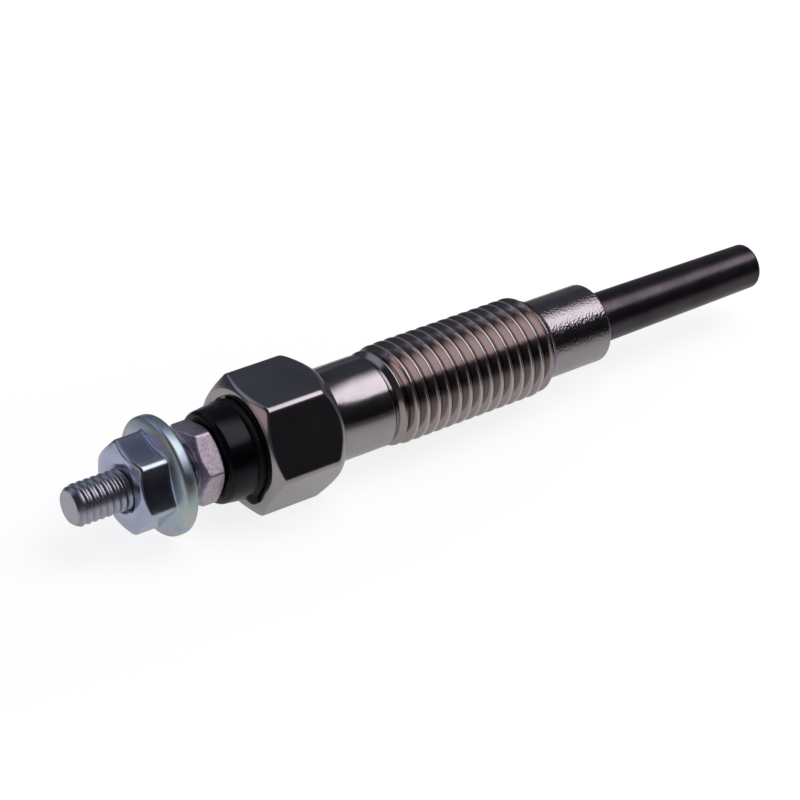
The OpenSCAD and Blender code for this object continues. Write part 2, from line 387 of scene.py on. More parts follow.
# %% Turning rings
def make_rings():
    group, given, put = start_group(
        "turning_rings",
        {"Vector": ("Vector", None), "Scale": ("Float", 4000.0)},
        {"Height": "Float"},
    )
    parts = add_node(group, "SeparateXYZ", {"Vector": given.outputs["Vector"]})
    place = add_node(group, "Math", {0: parts.outputs["X"], 1: given.outputs["Scale"]}, operation="MULTIPLY")
    noise = add_node(group, "TexNoise", {"W": place.outputs["Value"], "Scale": 1.0, "Detail": 3.0},
                     noise_dimensions="1D")
    group.links.new(noise.outputs["Fac"], put.inputs["Height"])
    return group


TURNING_RINGS = make_rings()
print("group made:", TURNING_RINGS.name)

# %% [markdown]
# Depth in a thread: how far a point is from the axis, turned into 0 at the root and 1 at the crest.
# The threads use it to paint shade into their roots and a highlight onto their crests. It also tells a
# hexagon or a flange from the thinner parts of the same piece.

# %% Depth in a thread
ACROSS_AXIS = (0, 1, 1)


def make_thread_depth():
    group, given, put = start_group(
        "thread_depth",
        {"Vector": ("Vector", None), "Root": ("Float", 4.2), "Crest": ("Float", 4.9)},
        {"Share": "Float"},
    )
    place = given.outputs["Vector"]
    centred = add_node(group, "VectorMath", {0: place, 1: tuple(AXIS)}, operation="SUBTRACT")
    flat = add_node(group, "VectorMath", {0: centred.outputs["Vector"], 1: ACROSS_AXIS},
                    operation="MULTIPLY")
    length = add_node(group, "VectorMath", {0: flat.outputs["Vector"]}, operation="LENGTH")
    radius = add_node(group, "Math", {0: length.outputs["Value"], 1: 1 / MM}, operation="MULTIPLY")
    share = add_node(group, "MapRange", {
        "Value": radius.outputs["Value"],
        "From Min": given.outputs["Root"], "From Max": given.outputs["Crest"],
    })
    group.links.new(share.outputs["Result"], put.inputs["Share"])
    return group


THREAD_DEPTH = make_thread_depth()
print("group made:", THREAD_DEPTH.name)

# %% [markdown]
# Passivate tint: a thin chromate film on zinc shows pale rainbow clouds, from blue through green and
# straw to pink. A colour ramp over slow noise gives them, pale enough to stay metal.

# %% Passivate tint
PASSIVATE_HUES = (
    (0.30, (0.53, 0.57, 0.74, 1)), (0.42, (0.51, 0.66, 0.76, 1)), (0.50, (0.56, 0.70, 0.70, 1)),
    (0.58, (0.64, 0.66, 0.64, 1)), (0.70, (0.66, 0.58, 0.73, 1)),
)


def make_passivate():
    group, given, put = start_group(
        "passivate_tint",
        {"Vector": ("Vector", None), "Scale": ("Float", 350.0)},
        {"Color": "Color"},
    )
    noise = add_node(group, "TexNoise", {
        "Vector": given.outputs["Vector"], "Scale": given.outputs["Scale"], "Detail": 2.0, "Distortion": 0.6,
    })
    ramp = add_node(group, "ValToRGB", {"Fac": noise.outputs["Fac"]})
    stops = ramp.color_ramp.elements
    stops.remove(stops[0])
    stops[0].position, stops[0].color = PASSIVATE_HUES[0]
    for position, colour in PASSIVATE_HUES[1:]:
        stops.new(position).color = colour
    group.links.new(ramp.outputs["Color"], put.inputs["Color"])
    return group


PASSIVATE_TINT = make_passivate()
print("group made:", PASSIVATE_TINT.name)

# %% [markdown]
# Every material starts the same way: a Principled shader, the Object coordinates, and a helper that
# places one of the groups.

# %% Start a material
class Finish:
    """A material with its Principled shader, Object coordinates and short ways to wire them."""

    def __init__(self, name, metallic=0.0, roughness=0.5):
        self.material = bpy.data.materials.new(name)
        self.material.use_nodes = True
        self.tree = self.material.node_tree
        self.shader = self.tree.nodes["Principled BSDF"]
        self.shader.inputs["Metallic"].default_value = metallic
        self.shader.inputs["Roughness"].default_value = roughness
        self.place = self.tree.nodes.new("ShaderNodeTexCoord").outputs["Object"]

    def node(self, kind, links=None, **settings):
        return add_node(self.tree, kind, links, **settings)

    def group(self, tree, **values):
        """Places a shared group on the Object coordinates and returns its first output."""
        node = self.tree.nodes.new("ShaderNodeGroup")
        node.node_tree = tree
        self.tree.links.new(self.place, node.inputs["Vector"])
        for name, value in values.items():
            node.inputs[name].default_value = value
        return node.outputs[0]

    def blend(self, share, first, second):
        """Colour between first and second."""
        mix = self.node("Mix", {0: share, 6: first, 7: second}, data_type="RGBA")
        return mix.outputs[2]

    def bump(self, height, strength, distance, normal=None):
        """Bump from a height; distance is in millimetres."""
        links = {"Height": height, "Strength": strength, "Distance": distance * MM}
        if normal:
            links["Normal"] = normal
        return self.node("Bump", links).outputs["Normal"]

    def set(self, **sockets):
        """Links values to the shader, such as Base_Color or Roughness."""
        for name, value in sockets.items():
            self.tree.links.new(value, self.shader.inputs[name.replace("_", " ")])
        return self.material


# %% [markdown]
# ## The body
# The body is one turned bar: hexagon, plain shank, rolled thread and nose, with a stepped bore.
# The lathe makes all but the thread, the flats are milled, and the rolled thread is bridged in.
# The places of the steps follow from the lengths, starting at the face of the hexagon.

# %% Sizes of the body
HEX_LEN = 8.2
HEX_CHAMFER_IN = 0.35
FRONT_SLOPE = math.tan(math.radians(30))
BACK_SLOPE = math.tan(math.radians(50))
HEX_CORNER_R = 0.8
HEX_SOFT = 0.3
BLANK_R = 7.1
SHANK_R = 4.56
SHANK_LEN = 5.4
RUNOUT_LEN = 2.1
GROOVE_START = 0.8
THREAD_R = 4.94
THREAD_LEN = 17.1
THREAD_PITCH = 1.25
GROOVE_DEPTH = 0.77
THREAD_END_LEN = 1.6
NOSE_R = 3.95
NOSE_EDGE_R = 0.3
MOUTH_R = 4.8
MOUTH_DEPTH = 0.35
UPPER_BORE_R = 3.55
UPPER_BORE_LEN = 4.45
MAIN_BORE_R = 2.9
PRESS_LEN = 12
EDGE_R = 0.1
SHANK_FILLET = 0.2
# A ring here splits the long faces of the shank, so that its shading bends softly into the fillet.
SHANK_RING = 2

x_shank = x_hex + HEX_LEN
x_runout = x_shank + SHANK_LEN
x_thread = x_runout + RUNOUT_LEN
x_thread_end = x_thread + THREAD_LEN
x_nose = x_thread_end + THREAD_END_LEN
x_groove = x_runout + GROOVE_START
root_r = THREAD_R - GROOVE_DEPTH
print(f"thread from {x_thread:.2f} to {x_thread_end:.2f} mm, nose end at {x_nose_end:.2f} mm")

# %% [markdown]
# Nickel on the body: bright, slightly warm, smooth on the shank, a little duller on the hexagon and
# coarse like orange peel on the nose. The flanks of its thread are brownish; its roots get painted shade
# and its crests a painted highlight. Radius and place along the axis tell these zones apart, so one
# material covers the whole piece.

# %% Nickel plate
PLATE_DARK, PLATE_LIGHT = (0.40, 0.38, 0.39, 1), (0.46, 0.44, 0.45, 1)
# Painted highlight: the crests are coloured lighter than the brownish flanks.
FLANK_BROWN, CREST_PAINTED_HIGHLIGHT = (0.44, 0.38, 0.365, 1), (0.60, 0.575, 0.585, 1)
# Painted shade: the thread roots are coloured dark.
ROOT_PAINTED_SHADE = (0.11, 0.09, 0.085, 1)
THREAD_ROUGHNESS, HEX_ROUGHNESS = 0.17, 0.21
SHANK_GRAIN, NOSE_GRAIN = 0.07, 0.85
CREST_BAND = THREAD_R - 0.14, THREAD_R - 0.02
ROOT_BAND = root_r + 0.01, root_r + 0.15
HEX_BAND = THREAD_R + 0.02, THREAD_R + 0.16


def thread_mask(finish, along):
    """1 on the thread and 0 on the shank and the nose."""
    begun = finish.node("MapRange", {
        "Value": along, "From Min": x_groove * MM, "From Max": x_thread * MM,
    }).outputs["Result"]
    not_over = finish.node("MapRange", {
        "Value": along, "From Min": x_thread_end * MM, "From Max": x_nose * MM, "To Min": 1.0, "To Max": 0.0,
    }).outputs["Result"]
    return finish.node("Math", {0: begun, 1: not_over}, operation="MULTIPLY").outputs["Value"]


def make_nickel():
    finish = Finish("nickel_plate", metallic=1.0)
    along = finish.node("SeparateXYZ", {"Vector": finish.place}).outputs["X"]
    threaded = thread_mask(finish, along)
    plate = finish.blend(finish.group(CLOUDY_PATCHES, Scale=260.0), PLATE_DARK, PLATE_LIGHT)
    # The crests get a painted highlight, then the roots get painted shade.
    near_crest = finish.group(THREAD_DEPTH, Root=CREST_BAND[0], Crest=CREST_BAND[1])
    flank = finish.blend(near_crest, FLANK_BROWN, CREST_PAINTED_HIGHLIGHT)
    out_of_root = finish.group(THREAD_DEPTH, Root=ROOT_BAND[0], Crest=ROOT_BAND[1])
    thread_painted_shade = finish.blend(out_of_root, ROOT_PAINTED_SHADE, flank)
    polish = finish.group(CLOUDY_PATCHES, Scale=900.0, Low=0.13, High=0.2)
    turned = finish.node("Mix", {0: threaded, 2: polish, 3: THREAD_ROUGHNESS}).outputs[0]
    on_hexagon = finish.group(THREAD_DEPTH, Root=HEX_BAND[0], Crest=HEX_BAND[1])
    roughness = finish.node("Mix", {0: on_hexagon, 2: turned, 3: HEX_ROUGHNESS}).outputs[0]
    rings = finish.bump(finish.group(TURNING_RINGS, Scale=5000.0), strength=0.10, distance=0.02)
    coarse = finish.node("MapRange", {
        "Value": along, "From Min": x_thread_end * MM, "From Max": x_nose * MM,
        "To Min": SHANK_GRAIN, "To Max": NOSE_GRAIN,
    }).outputs["Result"]
    grain = finish.group(PLATING_GRAIN, Scale=4800.0, Fine=0.2)
    return finish.set(
        Base_Color=finish.blend(threaded, plate, thread_painted_shade), Roughness=roughness,
        Normal=finish.bump(grain, strength=coarse, distance=0.03, normal=rings),
    )


NICKEL = make_nickel()
print("finish made:", NICKEL.name)

# %% [markdown]
# A rolled thread doesn't start at once. Its first groove comes up out of the plain shank, and its crests
# rise over the next turns. Towards the nose the last turn runs lower and ends in a steep chamfer.

# %% Shape the ends of the body thread
GROOVE_LEN = 0.3
RISE_LEN = 2.8
LEAD_LEN = 0.85
LEAD_DROP = 0.26
x_lead = x_thread_end + LEAD_LEN
END_SLOPE = (THREAD_R - LEAD_DROP - NOSE_R) / (x_nose - x_lead)
START_SEAM, END_SEAM = 0.15, 0.02
LEFT_ON_NOSE = 0.14
x_join_start = x_runout - START_SEAM
x_join_end = x_nose - LEFT_ON_NOSE
x_thread_cut = x_join_end - END_SEAM
end_join_r = NOSE_R + END_SLOPE * (x_nose - x_join_end)


def smooth_share(value):
    """Eases a share from 0 to 1."""
    value = min(max(value, 0.0), 1.0)
    return value * value * (3 - 2 * value)


def body_thread_ends(x, r):
    """Radius of a thread vertex after its ends are shaped."""
    past_shank = x - x_groove
    blank = SHANK_R + (THREAD_R - SHANK_R) * smooth_share(past_shank / RISE_LEN)
    cut = (THREAD_R - r) * smooth_share(past_shank / GROOVE_LEN)
    risen = max(blank - cut, root_r)
    lead = THREAD_R - LEAD_DROP * (x - x_thread_end) / LEAD_LEN
    return min(risen, lead, NOSE_R + END_SLOPE * (x_nose - x))


print(f"grooves from {x_groove:.2f} to {x_thread_cut:.2f} mm")


# %% Turn, mill and thread the body
def make_body():
    face_r = hex_af / 2 - HEX_CHAMFER_IN
    x_press = x_nose_end - PRESS_LEN
    x_flats = x_hex + (BLANK_R - face_r) * FRONT_SLOPE
    x_flats_end = x_shank - (BLANK_R - face_r) * BACK_SLOPE
    turned = bmesh.new()
    revolve(turned, [
        (x_join_end, end_join_r), (x_nose, NOSE_R),
        *arc(x_nose_end - NOSE_EDGE_R, NOSE_R - NOSE_EDGE_R, NOSE_EDGE_R, 90, 0),
        (x_nose_end, sheath_r + EDGE_R), (x_nose_end - EDGE_R, sheath_r),
        (x_press, sheath_r), (x_press - MAIN_BORE_R + sheath_r, MAIN_BORE_R),
        (x_hex + UPPER_BORE_LEN, MAIN_BORE_R), (x_hex + UPPER_BORE_LEN, UPPER_BORE_R),
        (x_hex + MOUTH_DEPTH, UPPER_BORE_R), (x_hex + MOUTH_DEPTH, MOUTH_R),
        *arc(x_hex + EDGE_R, MOUTH_R + EDGE_R, EDGE_R, -90, -180, 3),
        *arc(x_hex + EDGE_R, face_r - EDGE_R / 2, EDGE_R, 180, 120, 3),
        *line((x_hex + 0.7 * EDGE_R, face_r + 1.2 * EDGE_R), (x_flats, BLANK_R), 24),
        *line((x_flats, BLANK_R), (x_flats_end, BLANK_R), 8),
        *line((x_flats_end, BLANK_R), (x_shank - 0.7 * EDGE_R, face_r + 0.6 * EDGE_R), 30),
        *arc(x_shank - EDGE_R, face_r - EDGE_R / 2, EDGE_R, 50, 0, 3),
        *arc(x_shank + SHANK_FILLET, SHANK_R + SHANK_FILLET, SHANK_FILLET, 180, 270, 4),
        (x_runout - SHANK_RING, SHANK_R), (x_join_start, SHANK_R),
    ], steps=HEX_STEPS)
    mill_hexagon(turned, hex_af, HEX_CORNER_R, HEX_SOFT, x_hex, x_shank)
    threaded = bmesh.new()
    roll_thread(
        threaded, x_runout, x_thread_cut, THREAD_R, GROOVE_DEPTH, THREAD_PITCH, body_thread_ends,
    )
    rolled = bpy.data.meshes.new("rolled")
    threaded.to_mesh(rolled)
    threaded.free()
    turned.from_mesh(rolled)
    join_rims(turned, x_join_start, x_runout)
    join_rims(turned, x_thread_cut, x_join_end)
    return make_piece(turned, "body_shell", NICKEL)


make_body()

# %% [markdown]
# Zinc on the terminal end: bluer than the nickel. The stud has painted shade in its roots and a painted
# highlight on its crests and on its end face, the flange nut has the pale rainbow of its passivate on the
# flange, and the clamp nut is rough and slightly pink.

# %% Zinc on the stud
# Painted shade in the stud's roots and a painted highlight on its crests.
STUD_ROOT_PAINTED_SHADE, STUD_CREST_PAINTED_HIGHLIGHT = (0.33, 0.335, 0.375, 1), (0.49, 0.50, 0.555, 1)
# Painted highlight: the stud's end face is coloured lighter.
STUD_END_PAINTED_HIGHLIGHT = (0.54, 0.54, 0.60, 1)
TIP_BRIGHT, TIP_FADED = 0.05, 0.2
STUD_BAND = stud_r - 0.25, stud_r - 0.05


def make_zinc_stud():
    finish = Finish("zinc_plate", metallic=1.0)
    # Painted shade in the roots, then a painted highlight towards the crests and on the end face.
    depth = finish.group(THREAD_DEPTH, Root=STUD_BAND[0], Crest=STUD_BAND[1])
    rolled = finish.blend(depth, STUD_ROOT_PAINTED_SHADE, STUD_CREST_PAINTED_HIGHLIGHT)
    along = finish.node("SeparateXYZ", {"Vector": finish.place}).outputs["X"]
    inward = finish.node("MapRange", {
        "Value": along,
        "From Min": (x_stud_tip + TIP_BRIGHT) * MM, "From Max": (x_stud_tip + TIP_FADED) * MM,
    }).outputs["Result"]
    colour = finish.blend(inward, STUD_END_PAINTED_HIGHLIGHT, rolled)
    roughness = finish.group(CLOUDY_PATCHES, Scale=1500.0, Low=0.26, High=0.38)
    grain = finish.group(PLATING_GRAIN, Scale=6000.0, Fine=0.4)
    normal = finish.bump(grain, strength=0.2, distance=0.02)
    return finish.set(Base_Color=colour, Roughness=roughness, Normal=normal)


ZINC_STUD = make_zinc_stud()
print("finish made:", ZINC_STUD.name)

# %% Zinc on the nuts
NUT_BLUE = (0.55, 0.60, 0.78, 1)
FLANGE_BEGINS_R, FLANGE_FULL_R = 4.0, 5.0
CLAMP_DARK, CLAMP_PINK = (0.46, 0.42, 0.50, 1), (0.75, 0.645, 0.70, 1)


def make_zinc_flange():
    finish = Finish("zinc_chromate", metallic=1.0)
    tint = finish.group(PASSIVATE_TINT, Scale=330.0)
    on_flange = finish.group(THREAD_DEPTH, Root=FLANGE_BEGINS_R, Crest=FLANGE_FULL_R)
    colour = finish.blend(on_flange, NUT_BLUE, tint)
    flats = finish.group(CLOUDY_PATCHES, Scale=1200.0, Low=0.15, High=0.2)
    rim = finish.group(CLOUDY_PATCHES, Scale=1200.0, Low=0.35, High=0.46)
    roughness = finish.node("Mix", {0: on_flange, 2: flats, 3: rim}).outputs[0]
    grain = finish.group(PLATING_GRAIN, Scale=5000.0, Fine=0.3)
    normal = finish.bump(grain, strength=0.05, distance=0.02)
    return finish.set(Base_Color=colour, Roughness=roughness, Normal=normal)


def make_zinc_clamp():
    finish = Finish("zinc_nut", metallic=1.0)
    colour = finish.blend(finish.group(CLOUDY_PATCHES, Scale=3600.0), CLAMP_DARK, CLAMP_PINK)
    roughness = finish.group(CLOUDY_PATCHES, Scale=1800.0, Low=0.34, High=0.46)
    grain = finish.group(PLATING_GRAIN, Scale=6500.0, Fine=1.0)
    normal = finish.bump(grain, strength=0.75, distance=0.02)
    return finish.set(Base_Color=colour, Roughness=roughness, Normal=normal)


ZINC_FLANGE, ZINC_CLAMP = make_zinc_flange(), make_zinc_clamp()
print("finishes made:", ZINC_FLANGE.name, ZINC_CLAMP.name)

# %% [markdown]
# ## The rod and its stud
# The rod carries the current. Its outer end is rolled with a fine thread, and the rest runs plain
# through the bush to the heater. The thread is rolled first and the plain rod bridged on.

# %% Roll and turn the rod
STUD_PITCH = 0.7
STUD_DEPTH = 0.13
STUD_CHAMFER = 0.5
STUD_END_R = 1.55
STUD_IN_BUSH = 1.5
ROD_R = 1.75
NECK_R = 1.3
PIN_R = 0.75
PIN_LEN = 1.6
ROD_SEAM = 0.1


def stud_ends(x, r):
    """The thread is chamfered at its tip and fades into the plain rod inside the bush."""
    chamfer_r = STUD_END_R + (stud_r - STUD_END_R) * (x - x_stud_tip) / STUD_CHAMFER
    faded = ROD_R + (r - ROD_R) * (1 - smooth_share((x - x_bush) / STUD_IN_BUSH))
    return min(faded, max(chamfer_r, PIN_R))


def make_rod():
    x_plain = x_bush + STUD_IN_BUSH
    x_pin = x_rod_end - PIN_LEN
    bm = bmesh.new()
    roll_thread(bm, x_stud_tip, x_plain, stud_r, STUD_DEPTH, STUD_PITCH, stud_ends)
    bmesh.ops.edgeloop_fill(bm, edges=rim_at(bm, x_stud_tip))
    revolve(bm, [
        (x_plain + ROD_SEAM, ROD_R), (x_sheath - ROD_R + NECK_R, ROD_R), (x_sheath, NECK_R),
        (x_pin, NECK_R), (x_pin, PIN_R), (x_rod_end, PIN_R), (x_rod_end, 0),
    ])
    join_rims(bm, x_plain, x_plain + ROD_SEAM)
    return make_piece(bm, "centre_rod", ZINC_STUD)


make_rod()

# %% [markdown]
# ## The flange nut
# This nut is pressed, not turned, so all edges of its hexagon are softly rounded, and its flats run out
# into a cone and a rounded rim. The lathe draws it as if it were round, as wide as across its flats.
# Then the hexagon's corners are pushed out, and back a little at the front, where a chamfer takes them
# off. The cone stays wherever it stands higher.

# %% Press the flange nut
NUT_AF = 8.0
NUT_CORNER_R = 0.7
NUT_EDGE_R = 0.42
NUT_CHAMFER = 0.6
NUT_TURN = 6.7
SINK_R = 2.5
HOLE_R = 1.98
RIM_H = 1.4
CONE_H = 0.4
CONE_R = 5.3
RIM_EDGE_R = 0.45
FILLET = 0.25
FACE_RING = 0.05
FLAT_IN = 1.1
CONE_LEAD = 0.3
RIM_GAP = 0.02
x_rim = x_nut_end - RIM_H
x_cone = x_rim - CONE_H
x_lead_in = x_cone - CONE_LEAD


def press_hexagon(vert):
    """Pushes a vertex of the round nut out to the hexagon, or to the cone where that is higher."""
    x = vert.co.x / MM
    cone_r = NUT_AF / 2 + (CONE_R - NUT_AF / 2) * (x - x_cone) / (x_rim - x_cone)
    corner_out = hexagon_radius(vert, NUT_AF, NUT_CORNER_R) - NUT_AF / 2
    if x < x_rim - SAME_PLACE and radius_of(vert) > NUT_AF / 2 - NUT_EDGE_R - SAME_PLACE:
        set_radius(vert, -soft_min(-radius_of(vert) - corner_out, -cone_r, FILLET))
        if x < x_nut + NUT_EDGE_R + SAME_PLACE:
            vert.co.x += NUT_CHAMFER * corner_out * MM


def make_flange_nut():
    flat_r = NUT_AF / 2
    bm = bmesh.new()
    revolve(bm, [
        (x_nut, SINK_R), (x_nut, flat_r - NUT_EDGE_R - FACE_RING),
        *arc(x_nut + NUT_EDGE_R, flat_r - NUT_EDGE_R, NUT_EDGE_R, 180, 90, 9),
        *line((x_nut + FLAT_IN, flat_r), (x_lead_in, flat_r), 3),
        *line((x_lead_in, flat_r), (x_rim - RIM_GAP, flat_r), 14),
        *arc(x_rim + RIM_EDGE_R, flange_r - RIM_EDGE_R, RIM_EDGE_R, 150, 90, 6),
        *arc(x_nut_end - RIM_EDGE_R, flange_r - RIM_EDGE_R, RIM_EDGE_R, 90, 0, 7),
        (x_nut_end, SINK_R), (x_nut_end - SINK_R + HOLE_R, HOLE_R), (x_nut + SINK_R - HOLE_R, HOLE_R),
    ], closed=True, steps=HEX_STEPS)
    for vert in bm.verts:
        press_hexagon(vert)
    turn_piece(bm, NUT_TURN)
    return make_piece(bm, "terminal_flange_nut", ZINC_FLANGE)


make_flange_nut()

# %% [markdown]
# ## The clamp nut
# A plain nut behind the flange nut holds the bush down. It is a turned and milled hexagon with a
# chamfer at both ends, so the lathe makes the blank and the flats are milled, as on the body.

# %% Turn and mill the clamp nut
CLAMP_AF = 7.0
CLAMP_TURN = -14.3
CLAMP_CHAMFER_IN = 0.3
CLAMP_CORNER_R = 0.4
CLAMP_SOFT = 0.2
CLAMP_BLANK_R = 4.3


def make_clamp_nut():
    face_r = CLAMP_AF / 2 - CLAMP_CHAMFER_IN
    slope_len = (CLAMP_BLANK_R - face_r) * FRONT_SLOPE
    sink_len = SINK_R - HOLE_R
    bm = bmesh.new()
    revolve(bm, [
        (x_clamp, SINK_R),
        *line((x_clamp, face_r), (x_clamp + slope_len, CLAMP_BLANK_R), 18),
        *line((x_clamp + slope_len, CLAMP_BLANK_R), (x_clamp_end - slope_len, CLAMP_BLANK_R), 4),
        *line((x_clamp_end - slope_len, CLAMP_BLANK_R), (x_clamp_end, face_r), 18),
        (x_clamp_end, face_r), (x_clamp_end, SINK_R),
        (x_clamp_end - sink_len, HOLE_R), (x_clamp + sink_len, HOLE_R),
    ], closed=True, steps=HEX_STEPS)
    mill_hexagon(bm, CLAMP_AF, CLAMP_CORNER_R, CLAMP_SOFT, x_clamp, x_clamp_end)
    turn_piece(bm, CLAMP_TURN)
    return make_piece(bm, "clamp_nut", ZINC_CLAMP)


make_clamp_nut()

# %% [markdown]
# ## Bush and seal ring
# The bush is moulded black plastic and keeps the rod from touching the body. The rubber ring is
# squeezed between the bush and the hexagon, and a little of it bulges out at one side.

# %% Black plastic and rubber
PLASTIC_BLACK, PLASTIC_WORN = (0.0018, 0.0018, 0.003, 1), (0.003, 0.003, 0.005, 1)
PLASTIC_GLOSS_TINT = (0.92, 0.9, 1.0, 1)
RUBBER_BLACK, RUBBER_DUSTY = (0.003, 0.003, 0.0035, 1), (0.006, 0.006, 0.0065, 1)


def make_plastic():
    finish = Finish("black_bush")
    finish.shader.inputs["Specular IOR Level"].default_value = 0.26
    finish.shader.inputs["Specular Tint"].default_value = PLASTIC_GLOSS_TINT
    colour = finish.blend(finish.group(CLOUDY_PATCHES, Scale=700.0), PLASTIC_BLACK, PLASTIC_WORN)
    roughness = finish.group(CLOUDY_PATCHES, Scale=2500.0, Low=0.20, High=0.28)
    grain = finish.group(PLATING_GRAIN, Scale=7000.0, Fine=0.5)
    normal = finish.bump(grain, strength=0.06, distance=0.02)
    return finish.set(Base_Color=colour, Roughness=roughness, Normal=normal)


def make_rubber():
    finish = Finish("black_rubber")
    finish.shader.inputs["Specular IOR Level"].default_value = 0.3
    colour = finish.blend(finish.group(CLOUDY_PATCHES, Scale=1500.0), RUBBER_BLACK, RUBBER_DUSTY)
    roughness = finish.group(CLOUDY_PATCHES, Scale=3000.0, Low=0.42, High=0.62)
    grain = finish.group(PLATING_GRAIN, Scale=9000.0, Fine=0.6)
    normal = finish.bump(grain, strength=0.25, distance=0.02)
    return finish.set(Base_Color=colour, Roughness=roughness, Normal=normal)


BLACK_PLASTIC, BLACK_RUBBER = make_plastic(), make_rubber()
print("finishes made:", BLACK_PLASTIC.name, BLACK_RUBBER.name)

# %% Mould the bush and squeeze the ring
COLLAR_LEN = 2.75
COLLAR_FRONT_R = 4.45
COLLAR_EDGE_R = 0.55
COLLAR_BACK_R = 0.15
SPIGOT_R = 3.5
BUSH_HOLE_R = 2.05
RING_R = 0.625
RING_POINTS = 24
BULGE_ANGLE = -48
BULGE_SPREAD = 7
BULGE_OUT = 0.7


def make_bush():
    x_collar = x_bush + COLLAR_LEN
    bm = bmesh.new()
    revolve(bm, [
        (x_bush, BUSH_HOLE_R),
        *arc(x_bush + COLLAR_EDGE_R, COLLAR_FRONT_R - COLLAR_EDGE_R, COLLAR_EDGE_R, 180, 90, 9),
        *arc(x_collar - COLLAR_BACK_R, collar_r - COLLAR_BACK_R, COLLAR_BACK_R, 90, 0, 4),
        (x_collar, SPIGOT_R), (x_bush_end, SPIGOT_R), (x_bush_end, BUSH_HOLE_R),
    ], closed=True)
    return make_piece(bm, "insulator_bush", BLACK_PLASTIC)


def make_seal_ring():
    x_mid = (x_ring + x_ring_end) / 2
    squeezed = (x_ring_end - x_ring) / 2
    section = arc(x_mid, ring_outer_r - RING_R, RING_R, 0, 360 - 360 / RING_POINTS, RING_POINTS)
    bm = bmesh.new()
    revolve(bm, [(min(max(x, x_mid - squeezed), x_mid + squeezed), r) for x, r in section], closed=True)
    for vert in bm.verts:
        angle = math.degrees(math.atan2(vert.co.z - AXIS_Z, -vert.co.y))
        near = math.exp(-((angle - BULGE_ANGLE) / BULGE_SPREAD) ** 2)
        outer_share = smooth_share((radius_of(vert) - SPIGOT_R) / (2 * RING_R))
        if vert.co.x / MM < x_hex:
            set_radius(vert, radius_of(vert) + BULGE_OUT * near * outer_share)
    return make_piece(bm, "o_ring_seal", BLACK_RUBBER)


make_bush()
make_seal_ring()

# %% [markdown]
# ## The heater
# The sheath is a closed tube of heat-resisting alloy, swaged a little thinner towards its round end.
# It has a dark oxide skin with a hint of brown and purple, and fine grinding rings. The skin isn't quite
# metal, so Metallic stays a little under 1 and the darkest parts keep some grey.

# %% Oxidised sheath
OXIDE_DARK, OXIDE_LIGHT = (0.068, 0.06, 0.067, 1), (0.114, 0.1, 0.112, 1)


def make_oxide():
    finish = Finish("oxidised_sheath", metallic=0.86)
    colour = finish.blend(finish.group(CLOUDY_PATCHES, Scale=220.0), OXIDE_DARK, OXIDE_LIGHT)
    roughness = finish.group(CLOUDY_PATCHES, Scale=900.0, Low=0.18, High=0.27)
    rings = finish.bump(finish.group(TURNING_RINGS, Scale=9000.0), strength=0.12, distance=0.02)
    grain = finish.group(PLATING_GRAIN, Scale=8000.0, Fine=0.5)
    normal = finish.bump(grain, strength=0.15, distance=0.02, normal=rings)
    return finish.set(Base_Color=colour, Roughness=roughness, Normal=normal)


OXIDE = make_oxide()
print("finish made:", OXIDE.name)

# %% Draw the sheath
TIP_R = 2.3
TIP_EDGE_R = 0.45
SHEATH_WALL = 0.55
TIP_WALL = 0.8


def make_sheath():
    x_inside = x_sheath_tip - TIP_WALL
    bm = bmesh.new()
    revolve(bm, [
        (x_sheath_tip, 0), *arc(x_sheath_tip - TIP_EDGE_R, TIP_R - TIP_EDGE_R, TIP_EDGE_R, 0, 90, 9),
        (x_nose_end, sheath_r), (x_sheath, sheath_r), (x_sheath, sheath_r - SHEATH_WALL),
        (x_nose_end, sheath_r - SHEATH_WALL), (x_inside, TIP_R - SHEATH_WALL), (x_inside, 0),
    ])
    return make_piece(bm, "heater_sheath", OXIDE)


make_sheath()

# %% [markdown]
# ## The inside
# The seal, the powder and the two coils sit inside the sheath. Their CAD meshes already have the true
# form, so they only get finishes: rubber, packed white powder and drawn wire.

# %% Powder and wire
POWDER_GREY, POWDER_WHITE = (0.78, 0.77, 0.73, 1), (0.88, 0.87, 0.84, 1)
WIRE_DARK, WIRE_LIGHT = (0.36, 0.33, 0.31, 1), (0.50, 0.46, 0.43, 1)


def make_powder():
    finish = Finish("magnesia", roughness=0.9)
    colour = finish.blend(finish.group(CLOUDY_PATCHES, Scale=1500.0), POWDER_GREY, POWDER_WHITE)
    grain = finish.group(PLATING_GRAIN, Scale=12000.0, Fine=1.0)
    return finish.set(Base_Color=colour, Normal=finish.bump(grain, strength=0.5, distance=0.03))


def make_wire():
    finish = Finish("coil_wire", metallic=1.0)
    colour = finish.blend(finish.group(CLOUDY_PATCHES, Scale=1800.0), WIRE_DARK, WIRE_LIGHT)
    roughness = finish.group(CLOUDY_PATCHES, Scale=2600.0, Low=0.28, High=0.45)
    grain = finish.group(PLATING_GRAIN, Scale=9000.0, Fine=0.5)
    normal = finish.bump(grain, strength=0.2, distance=0.01)
    return finish.set(Base_Color=colour, Roughness=roughness, Normal=normal)


# %% Give them to the CAD nodes
WIRE = make_wire()
INSIDE = {
    "tube_seal": BLACK_RUBBER, "magnesia_fill": make_powder(), "regulating_coil": WIRE, "heating_coil": WIRE,
}
for node, material in INSIDE.items():
    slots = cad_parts[node].data.materials
    slots.clear()
    slots.append(material)
print("finished inside:", ", ".join(INSIDE))

# %% [markdown]
# ## Studio
# Bright metal is only as good as what it mirrors, so the studio is mostly a set of things to mirror. The
# plug lies on a pale table. The camera sees the table white, with the plug's shadow on it, and the metal
# mirrors a pool of light there that fades away from the plug.

# %% The table
FLOOR_SIZE = 1.2
